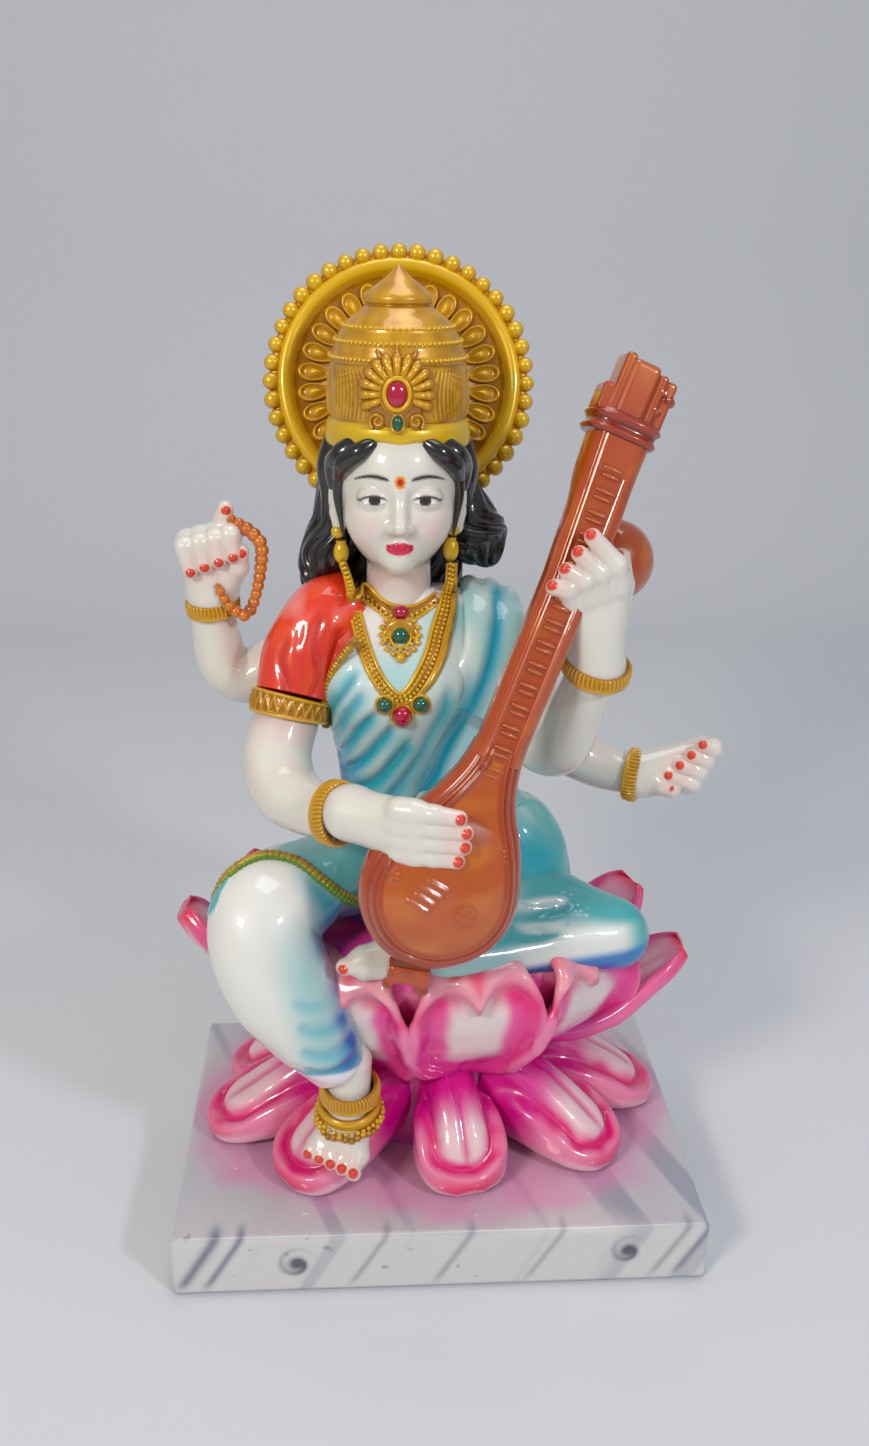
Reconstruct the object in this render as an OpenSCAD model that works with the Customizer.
// Seated four-armed figurine with a long-necked lute, on a lotus and a marble-look plinth.
// Frame: origin under the middle of the plinth, +X to the figure's left, -Y to its front, +Z up.
// Limbs, petals and cloth are lofts: elliptical sections carried along a smooth path.

/* [Plinth] */
// Width of the plinth, left to right
plinth_w = 140; // [136:1:150]
// Depth of the plinth, front to back
plinth_d = 96; // [94:1:110]
// Height of the plinth
plinth_h = 18; // [16:1:20]

/* [Lotus] */
// Reach of the lower petal tips along X
lower_reach_x = 66; // [62:1:68]
// Reach of the lower petal tips along Y
lower_reach_y = 42; // [39:1:42]
// Height of the seat that the figure sits on
seat_z = 85; // [84:1:87]

/* [Halo] */
// Radius of the halo disc
halo_r = 32.5; // [30:0.5:34]
// Backward tilt of the halo, in degrees
halo_tilt = 17; // [12:1:20]
// Beads round the halo's rim
halo_bead_count = 44; // [36:1:46]
// Raised teardrops on the halo's face
halo_drop_count = 24; // [20:1:26]

/* [Lute] */
// Width of the lute's neck
neck_w = 12; // [11:0.5:14]
// Frets on the neck
fret_count = 11; // [8:1:12]
// Backward tilt of the lute, in degrees
lute_tilt = 12.5; // [11:0.5:14]
// Sideways lean of the lute, in degrees
lute_lean = 22.5; // [21:0.5:24]

/* [Jewellery] */
// Width of a bangle along the arm
bangle_h = 4.2; // [3.6:0.2:5]
// Thickness of a bangle's rim
bangle_t = 1.8; // [1.4:0.1:2.2]

/* [Hidden] */

lotus_c = [0, 5, 0];              // middle of the lotus on the plinth
// Hand-made flower: each lower petal is [angle from +X, reach of its tip].
lower_petals = [
    [-83, 0.96], [-41, 0.97], [4, 0.97], [42, 0.97], [80, 0.97], [117, 0.97], [154, 0.97],
    [193, 0.98], [233, 1.02]
];
// Each upper petal: [angle, reach of its tip, height of its tip].
upper_petals = [
    [-80, 0.88, 82], [-40, 0.88, 81], [-2, 1.07, 69], [31, 1.08, 77], [64, 1.04, 84],
    [104, 1.02, 86], [146, 1.02, 86], [191, 1.05, 88], [241, 0.88, 81]
];
head_c = [-11, 12, 196];          // middle of the head at eye height
halo_c = [-10, 36, 221.7];        // middle of the halo's front face
lute_foot = [-7.6, -41.8, 97];    // where the lute's axis leaves the bottom of its bowl
lute_neck_from = 52;              // where the neck leaves the bowl, along the lute
lute_collar_at = 133.5;           // the collar between neck and pegbox
lute_end = 148;

gold = "goldenrod";
skin = "ivory";
cyan = "paleturquoise";
pink = "hotpink";
varnish = "chocolate";

// ---------- paths and lofts ----------

function held(list, i) = list[max(0, min(len(list) - 1, i))];
function xyz(s) = [s[0], s[1], s[2]];
function unit(v) = v / norm(v);

// A point on the Catmull-Rom curve through a list, after item i by the share t.
function curve_at(list, i, t) =
    let (a = held(list, i - 1), b = list[i], c = held(list, i + 1), d = held(list, i + 2))
    0.5 * (2 * b + (c - a) * t + (2 * a - 5 * b + 4 * c - d) * t * t
           + (3 * b - a - 3 * c + d) * t * t * t);

function smooth_path(list, steps) = concat(
    [for (i = [0:len(list) - 2], k = [0:steps - 1]) curve_at(list, i, k / steps)],
    [list[len(list) - 1]]);

// One elliptical section: a station is [x, y, z, half width, half thickness].
function section(path, i, sides, across) =
    let (s = path[i],
         t = unit(xyz(held(path, i + 1)) - xyz(held(path, i - 1))),
         u = unit(across - t * (across * t)),
         v = cross(t, u))
    [for (k = [0:sides - 1])
        xyz(s) + s[3] * cos(360 * k / sides) * u + s[4] * sin(360 * k / sides) * v];

// A closed solid through the stations. `across` is the direction of each half width.
module loft(stations, across = [1, 0, 0], sides = 12, steps = 3) {
    path = smooth_path(stations, steps);
    last = len(path) - 1;
    points = [for (i = [0:last], p = section(path, i, sides, across)) p];
    walls = [for (i = [0:last - 1], k = [0:sides - 1])
        let (a = i * sides + k, b = i * sides + (k + 1) % sides)
        each [[a, b + sides, b], [a, a + sides, b + sides]]];
    start_cap = [for (k = [0:sides - 1]) k];
    end_cap = [for (k = [sides - 1:-1:0]) last * sides + k];
    polyhedron(points, concat([start_cap], walls, [end_cap]), convexity = 6);
}

// A rounded stroke between two [x, y, z, r] balls.
module stroke(a, b, fn = 10) {
    hull() {
        translate(xyz(a)) sphere(r = a[3], $fn = fn);
        translate(xyz(b)) sphere(r = b[3], $fn = fn);
    }
}

// ---------- plinth and lotus ----------

module plinth() {
    color("lightgray")
        translate([-plinth_w / 2, -plinth_d / 2, 0])
            cube([plinth_w, plinth_d, plinth_h]);
}

module lotus_seat() {
    color(pink) loft([
        [0, 5, plinth_h, 30, 20], [0, 5, 32, 26, 18], [0, 5, 46, 27, 19],
        [0, 4, 62, 40, 27], [0, 4, 78, 47, 31], [0, 4, seat_z, 45, 29]
    ], sides = 28, steps = 2);
}

// A point over the lotus: `reach` is a share of the lower ring's reach.
function over_lotus(angle, reach, z) = [
    lotus_c[0] + lower_reach_x * reach * cos(angle),
    lotus_c[1] + lower_reach_y * reach * sin(angle), z];

// Each outline row is [reach, height, half width, half thickness].
module petal(angle, outline) {
    color(pink) loft(
        [for (s = outline) concat(over_lotus(angle, s[0], s[1]), [s[2], s[3]])],
        across = [-sin(angle), cos(angle), 0], sides = 12, steps = 2);
}

module lower_petal(i) {
    p = lower_petals[i];
    petal(p[0], [
        [0.30, 32, 8, 14.5], [0.52, 29.6, 11, 12.6], [0.70, 26.3, 12.8, 9.2],
        [p[1] - 0.13, 23.1, 12.2, 6.2], [p[1] - 0.03, 21, 9, 4], [p[1] + 0.015, 20, 4, 2.4]
    ]);
}

// The front petals curl over; the ones at the sides and back stand out to a tip.
module upper_petal(i) {
    p = upper_petals[i];
    curl = p[2] - 86;
    rise = p[2] - 47;
    petal(p[0], p[1] < 0.9 ? [
        [0.36, 46, 8, 3], [0.52, 48.5, 14.5, 3.2], [0.68, 57, 18, 3.2],
        [0.745, 67 + 0.4 * curl, 18.5, 3.2], [0.77, 76 + 0.8 * curl, 17.8, 3.3],
        [0.765, 83 + curl, 16, 3.4], [0.70, 87.5 + curl, 13.5, 3], [0.58, 87.5 + curl, 10, 2.4]
    ] : [
        [0.36, 46, 9, 3.4], [0.58, 47 + 0.1 * rise, 13.5, 4], [0.76, 47 + 0.34 * rise, 14.5, 4],
        [p[1] - 0.16, 47 + 0.68 * rise, 12.5, 3.6], [p[1] - 0.05, 47 + 0.9 * rise, 8.5, 3.2],
        [p[1] + 0.01, 47 + rise, 4.2, 2.2]
    ]);
}

// ---------- figure ----------

module lap() {
    color(cyan) loft([
        [4, 8, seat_z + 0.3, 34, 20], [3, 8, 96, 33, 20], [-1, 10, 106, 27, 17],
        [-4, 11, 116, 22, 13.5]
    ], sides = 20, steps = 2);
}

module right_leg() {
    color(cyan) loft([
        [-18, 4, 97, 12, 12], [-36, -10, 99.5, 14, 11], [-45, -20, 94.5, 14.5, 12],
        [-42, -25, 81, 14, 11.5], [-35, -26, 68, 11.5, 10], [-27, -25, 54, 8, 8]
    ], across = [1, 0.3, 0], sides = 14);
}

module left_leg() {
    color(cyan) {
        loft([
            [12, 4, 95, 14, 13], [28, -1, 90.5, 14.5, 10.5], [42, -4.5, 85, 11.5, 8],
            [51, -6, 81.5, 7.5, 6], [55, -6.5, 80, 3, 2.5]
        ], across = [0, 1, 0.2], sides = 14);
        loft([
            [48, -10, 80.5, 6, 5], [38, -16, 80.5, 7.5, 6], [22, -22, 82.5, 7.5, 6],
            [6, -24, 84.5, 6.5, 5.5], [-6, -24, 86.5, 5.5, 5]
        ], across = [0, 0, 1], sides = 12, steps = 2);
    }
}

module right_foot() {
    color(skin) loft([
        [-24.5, -24.5, 53, 6, 6], [-24, -25, 45, 5.6, 5.8], [-24.5, -27, 39, 6.4, 5.2],
        [-26, -30, 34.5, 7.8, 4.4], [-27.5, -33, 31, 8, 3.4], [-28.5, -35, 29, 6, 2]
    ], sides = 12, steps = 2);
}

module left_foot() {
    color(skin) loft([
        [-4, -23.5, 87, 5.5, 4], [-13, -25.5, 87.5, 5.5, 4], [-20.5, -28, 88, 4.6, 3.4],
        [-25, -30, 87.5, 3, 2.4]
    ], across = [0, 0, 1], sides = 10, steps = 2);
}

module torso() {
    color(cyan) loft([
        [-4.5, 11, 116.2, 22, 13.4], [-6, 11, 126, 20.5, 13], [-7, 9.5, 140, 22.5, 14],
        [-8.5, 9.5, 150, 24, 14], [-9.5, 12, 160, 25, 11.5], [-10, 14, 168, 21, 9],
        [-10.5, 14.5, 172.5, 11, 7]
    ], sides = 20, steps = 2);
}

module shoulder_drape() {
    color(cyan) loft([
        [14, 26, 150, 6, 1.6], [13, 25, 162, 7, 2], [13, 18, 171, 8.5, 3],
        [13.5, 6, 168, 8, 2.4], [12, -1.5, 158, 7.5, 2], [6, -5, 146, 8, 1.6]
    ], across = [1, 0, -0.3], sides = 12, steps = 2);
}

module sleeve() {
    color("orangered") loft([
        [-22, 14, 171, 8, 6], [-28.5, 12.5, 166.5, 10, 9.5], [-34, 10, 158.5, 10.6, 10.4],
        [-37, 7.5, 150.5, 10.2, 10], [-38, 5.8, 146.6, 9.6, 9.4]
    ], across = [1, 0, 0.5], sides = 16, steps = 2);
}

module sleeve_hem() {
    color(gold) loft([
        [-38, 5.8, 146.4, 10, 9.8], [-38.7, 4.9, 143.8, 10.1, 9.9], [-39.3, 4, 141, 9.7, 9.5]
    ], across = [1, 0, 0.4], sides = 20, steps = 2);
}

module head() {
    color(skin) {
        loft([
            [-10.5, 14, 166, 8.5, 8], [-10.5, 13.5, 174, 7.5, 7.5], [-11, 10, 179.5, 9, 9],
            [-11, 9.5, 184, 12, 13.5], [-11, 10.5, 192, 14.6, 16], [-11, 11.5, 201, 15.4, 17],
            [-11, 13, 211, 14.5, 16], [-11, 14, 219, 10, 11.5]
        ], sides = 20, steps = 2);
        for (x = [-26.2, 4.4]) translate([x, 11.5, 197]) scale([0.5, 0.8, 1.9])
            sphere(r = 4, $fn = 12);
    }
}

module hair_right() {
    color("black") loft([
        [-24.5, 16, 209, 3.5, 6], [-27, 19.5, 198, 3.6, 7], [-28.5, 21, 188, 4.4, 7.5],
        [-30.5, 20.5, 179, 5.2, 7], [-32.5, 19, 173, 3.2, 3.5]
    ], sides = 12, steps = 2);
}

module hair_left() {
    color("black") loft([
        [2.5, 16, 209, 3.5, 6], [5, 19.5, 199, 4, 7], [7.5, 21, 191, 6, 7.5],
        [10.5, 20.5, 184, 7.5, 7], [13, 19, 180, 5, 3.5]
    ], sides = 12, steps = 2);
}

module hair_back() {
    color("black") loft([
        [-11, 25, 214, 12, 6], [-11, 27, 200, 16, 7], [-10.5, 27, 185, 17, 7],
        [-10, 27.5, 170, 16, 6], [-10, 27, 158, 10, 4]
    ], sides = 16, steps = 2);
}

module crown() {
    color(gold) translate([head_c[0], 15, 0]) rotate_extrude($fn = 64) polygon([
        [0, 211], [17.6, 211], [18.6, 213], [18.6, 216], [18, 220], [17.4, 228],
        [15.6, 234], [12.5, 238], [8.5, 240.5], [8, 242], [8.6, 243.2], [6.5, 244.6],
        [2.5, 247.4], [0, 250]
    ]);
}

module crown_crest() {
    color(gold) translate([head_c[0] - 0.8, -1.2, 223]) rotate([90, 0, 0]) {
        cylinder(r = 5, h = 2.2, center = true, $fn = 32);
        for (k = [-4:4])
            rotate([0, 0, 22 * k]) translate([0, 6.6, 0])
                cylinder(r = 1.7, h = 1.8, center = true, $fn = 16);
    }
}

module crown_stones() {
    translate([head_c[0] - 0.8, -2.8, 223.4]) {
        color("crimson") sphere(r = 2.5, $fn = 24);
        color("darkgreen") translate([0.4, -0.4, -6.8]) sphere(r = 1.6, $fn = 24);
    }
}

// The halo's own frame: its face towards -Y.
module on_halo() {
    translate(halo_c) rotate([90 - halo_tilt, 0, 0]) children();
}

module halo_disc() {
    color(gold) on_halo() rotate_extrude($fn = 96) polygon([
        [0, -3], [halo_r, -3], [halo_r, 0.4], [halo_r - 2, 1.4], [halo_r - 4.5, 0.6],
        [halo_r - 6, -0.6], [0, -1]
    ]);
}

module halo_drops() {
    drop_r = halo_r - 10.5;
    color(gold) on_halo() for (k = [0:halo_drop_count - 1])
        rotate([0, 0, 360 * k / halo_drop_count]) translate([drop_r, 0, -0.4])
            scale([1.9, 1, 0.6]) sphere(r = 2.1, $fn = 16);
}

module halo_beads() {
    color(gold) on_halo() for (k = [0:halo_bead_count - 1])
        rotate([0, 0, 360 * k / halo_bead_count]) translate([halo_r + 0.6, 0, -1])
            sphere(r = 2.2, $fn = 24);
}

// ---------- arms and hands ----------

module front_right_arm() {
    color(skin) loft([
        [-39.3, 4, 141, 8.4, 8.2], [-42, -1, 133, 9, 8.6], [-40, -8, 126.5, 8.8, 8.2],
        [-34, -16, 125, 7.6, 7.2], [-27.5, -23, 127, 6, 6.4], [-23, -28, 128.5, 5.6, 6.4]
    ], across = [0.7, 0.7, 0], sides = 14);
}

module front_right_hand() {
    color(skin) {
        hull() {
            translate([-22, -30, 129]) scale([1, 0.6, 1]) sphere(r = 7.4, $fn = 14);
            translate([-9, -42, 129.5]) scale([1, 0.5, 1]) sphere(r = 8.4, $fn = 14);
        }
        for (k = [0:3])
            stroke([-9, -42.5, 134.5 - 3.8 * k, 2.3],
                   [3.5 - 1.4 * abs(k - 1.4), -44.5, 134.5 - 3.6 * k, 2.1]);
        stroke([-18, -38, 134, 2.6], [-8, -40, 138, 2.2]);
        stroke([-20, -31, 129, 5], [-16, -37, 129, 5]);
        stroke([-16, -37, 129, 5], [-12, -40, 129, 5]);
    }
}

module back_right_arm() {
    color(skin) loft([
        [-30, 21, 158, 8, 7.5], [-41, 23.5, 150, 8.4, 7.8], [-50.5, 24, 145.5, 8.2, 7.6],
        [-57, 23, 149.5, 7.4, 7], [-58.8, 21.5, 159, 6.2, 6.2], [-59, 20, 168, 5.4, 5.4]
    ], across = [0, 1, 0], sides = 14);
}

module back_right_hand() {
    color(skin) {
        hull() {
            translate([-59, 19.5, 171]) sphere(r = 6.4, $fn = 14);
            translate([-60, 18, 184]) scale([1.05, 0.7, 0.8]) sphere(r = 7.6, $fn = 14);
        }
        for (k = [0:3])
            stroke([-65 + 3.9 * k, 15, 184.5 + 0.9 * k, 2.6],
                   [-63.5 + 3.6 * k, 12.5, 177.5 + 1.3 * k, 2.1]);
        stroke([-56.5, 17, 186, 2.9], [-54.3, 17.5, 193.5, 2.5]);
        stroke([-54, 17, 175, 3.2], [-50.5, 14.5, 182.5, 2.3]);
        stroke([-56, 18, 172, 4], [-54, 17, 176, 3.6]);
    }
}

module front_left_arm() {
    color(skin) loft([
        [20, 16, 160, 8.5, 8.5], [23.5, 12, 146, 8.6, 8.4], [27, 5, 134, 8.6, 8.2],
        [31, -3, 136, 7.8, 7.6], [33.2, -9, 147, 6.8, 6.6], [36, -14.5, 160, 6, 6]
    ], across = [1, 0, 0], sides = 14);
}

module front_left_hand() {
    color(skin) {
        hull() {
            translate([36, -16, 163.5]) sphere(r = 6, $fn = 14);
            translate([35.5, -23, 181]) scale([1, 0.5, 1]) sphere(r = 8, $fn = 14);
        }
        for (k = [0:3])
            stroke([38.5 - 3.6 * k, -24, 186 - 1.4 * k, 2.5],
                   [31.5 - 2.6 * k, -25.5, 195.5 - 3.8 * k, 2.1]);
        stroke([40, -17, 177, 3], [42, -12, 186, 2.4]);
        stroke([37, -17, 166, 5], [36, -20, 171, 5]);
        stroke([36, -20, 171, 5], [36, -23, 176, 5]);
    }
}

module back_left_arm() {
    color(skin) loft([
        [19, 22, 152, 8.5, 8.5], [25, 24, 138, 9, 8.6], [34, 24, 126.5, 8.2, 8],
        [45, 21.5, 120, 6.6, 6.6], [54, 18, 118, 5.6, 5.6]
    ], across = [0, 1, 0], sides = 14);
}

module back_left_hand() {
    color(skin) {
        hull() {
            translate([57.5, 17, 118]) sphere(r = 5.6, $fn = 14);
            translate([69, 15.5, 121.5]) scale([1.05, 0.8, 1.25]) sphere(r = 7, $fn = 14);
        }
        for (k = [0:3])
            stroke([70.5 + 1.4 * k, 14, 117 + 3.6 * k, 2.6],
                   [63.5 + 2.9 * k, 10.5, 120.5 + 3 * k, 2.1]);
        stroke([61, 13, 117.5, 3.2], [66.5, 10.5, 126.5, 2.2]);
        stroke([59.5, 16, 118, 4], [61.5, 13.5, 117.5, 3.6]);
        stroke([61.5, 16, 118.5, 4], [65, 15, 120.5, 4.4]);
    }
}

// ---------- jewellery ----------

// A ring round a limb of radius r: `along` is the limb's direction at the wrist or ankle.
module ring_round(at, along, r) {
    side = atan2(along[1], along[0]);
    lean = acos(along[2] / norm(along));
    translate(at) rotate([0, lean, side]) rotate_extrude($fn = 48)
        translate([r, -bangle_h / 2]) square([bangle_t, bangle_h]);
}

module bangles() {
    color(gold) {
        ring_round([-26.5, -24.5, 127], [0.72, -0.66, 0.2], 6.9);
        ring_round([-59, 20, 166.5], [-0.1, -0.15, 1], 5.1);
        ring_round([36.4, -15, 160.5], [0.15, -0.35, 1], 6.6);
        ring_round([55.5, 17.5, 118], [1, -0.45, -0.05], 5.8);
    }
}

module anklets() {
    color(gold) {
        ring_round([-24, -25, 46.5], [0, -0.12, 1], 6.6);
        ring_round([-24.3, -25.7, 41], [0, -0.2, 1], 6.6);
    }
}

module earrings() {
    color(gold) for (x = [-26.2, 4.2]) {
        translate([x, 9.5, 188.6]) sphere(r = 2.1, $fn = 24);
        translate([x, 9.3, 184.4]) sphere(r = 2.3, $fn = 24);
        translate([x, 9.1, 180.6]) sphere(r = 1.5, $fn = 24);
    }
}

// A string on the chest from the left of the neck round to the right, lowest in front.
module chest_string(half_w, top, drop, r, back_y, front_y) {
    turns = 16;
    points = [for (k = [0:turns])
        let (a = 180 * k / turns)
        [head_c[0] - half_w * cos(a), back_y + (front_y - back_y) * sin(a),
         top - drop * pow(sin(a), 1.6), r, r]];
    loft(points, across = [0, 1, 0], sides = 8, steps = 1);
}

module necklace() {
    color(gold) chest_string(14.5, 177, 29, 1.3, 8, -5.6);
}

module choker() {
    color(gold) {
        chest_string(10, 173, 5.5, 1.2, 11, 2.4);
        translate([head_c[0], 0.2, 164]) rotate([78, 0, 0])
            cylinder(r = 4.6, h = 1.6, center = true, $fn = 32);
    }
}

module neck_stones() {
    color("crimson") {
        translate([head_c[0], 0.6, 168.6]) sphere(r = 1.6, $fn = 24);
        translate([head_c[0] + 0.8, -6, 145]) sphere(r = 2.1, $fn = 24);
    }
    color("darkgreen") {
        translate([head_c[0], -1.2, 163.8]) sphere(r = 1.9, $fn = 24);
        for (x = [-4.4, 5]) translate([head_c[0] + x, -5.4, 147]) sphere(r = 1.6, $fn = 24);
    }
}

module prayer_beads() {
    color("sienna") loft([
        [-53, 16, 190, 1.2, 1.2], [-46, 14.5, 185, 1.7, 1.6], [-45.8, 14, 178, 1.5, 1.4],
        [-47.5, 14, 170, 1.7, 1.6], [-50, 14, 165.5, 1.8, 1.6], [-54, 13.5, 168, 1.6, 1.4],
        [-57, 12.5, 174, 1.4, 1.2]
    ], across = [0, 1, 0], sides = 8);
}

// ---------- lute ----------

// The lute's own frame: z along its neck from the foot of the bowl, face towards -y.
module on_lute() {
    translate(lute_foot) rotate([-lute_tilt, lute_lean, 0]) children();
}

module lute_body() {
    color(varnish) on_lute() loft([
        [0, 4, 0, 5, 2.5], [0, 3, 4, 12.5, 5.5], [0, 3, 11, 17.8, 7], [0, 3, 19, 19.5, 7.5],
        [0, 3, 28, 18.6, 7], [0, 2.5, 38, 14.5, 6], [0, 2, 48, 10, 5],
        [0, 2, lute_neck_from, neck_w / 2 + 0.6, 4.6]
    ], sides = 24, steps = 2);
}

module lute_neck() {
    color(varnish) on_lute() translate([-neck_w / 2, -2.6, lute_neck_from])
        cube([neck_w, 9, lute_collar_at - lute_neck_from]);
}

module lute_frets() {
    pitch = (lute_collar_at - 8 - lute_neck_from) / fret_count;
    color(varnish) on_lute() for (k = [1:fret_count])
        translate([-4.4, -3.6, lute_neck_from + pitch * k]) cube([8.8, 1, 1.2]);
}

module lute_pegbox() {
    color(varnish) on_lute() {
        translate([-8.6, -3.6, lute_collar_at]) cube([17.2, 11.5, 2.6]);
        translate([-6.8, -3, lute_collar_at + 2.6])
            cube([13.6, 10.5, lute_end - lute_collar_at - 4.6]);
        for (x = [-4.4, 0, 4.4]) translate([x, 2, lute_end - 2.6]) sphere(r = 2.5, $fn = 20);
    }
}

module lute_gourd() {
    color(varnish) on_lute() translate([12.5, 20.5, 105.5]) {
        sphere(r = 10.4, $fn = 48);
        translate([-4.5, -9.5, 0]) rotate([90, 0, -25])
            cylinder(r = 3.5, h = 12, center = true, $fn = 24);
    }
}

module lute_tailpiece() {
    color(varnish) translate([-9.5, -34, 88]) rotate([0, 12, 0]) cube([11, 6, 5.5], center = true);
}

plinth();
lotus_seat();
lower_petal(0);  // lower_petal_1
lower_petal(1);  // lower_petal_2
lower_petal(2);  // lower_petal_3
lower_petal(3);  // lower_petal_4
lower_petal(4);  // lower_petal_5
lower_petal(5);  // lower_petal_6
lower_petal(6);  // lower_petal_7
lower_petal(7);  // lower_petal_8
lower_petal(8);  // lower_petal_9
upper_petal(0);  // upper_petal_1
upper_petal(1);  // upper_petal_2
upper_petal(2);  // upper_petal_3
upper_petal(3);  // upper_petal_4
upper_petal(4);  // upper_petal_5
upper_petal(5);  // upper_petal_6
upper_petal(6);  // upper_petal_7
upper_petal(7);  // upper_petal_8
upper_petal(8);  // upper_petal_9
lap();
right_leg();
left_leg();
right_foot();
left_foot();
torso();
shoulder_drape();
sleeve();
sleeve_hem();
head();
hair_right();
hair_left();
hair_back();
crown();
crown_crest();
crown_stones();
halo_disc();
halo_drops();
halo_beads();
front_right_arm();
front_right_hand();
back_right_arm();
back_right_hand();
front_left_arm();
front_left_hand();
back_left_arm();
back_left_hand();
bangles();
anklets();
earrings();
necklace();
choker();
neck_stones();
prayer_beads();
lute_body();
lute_neck();
lute_frets();
lute_pegbox();
lute_gourd();
lute_tailpiece();
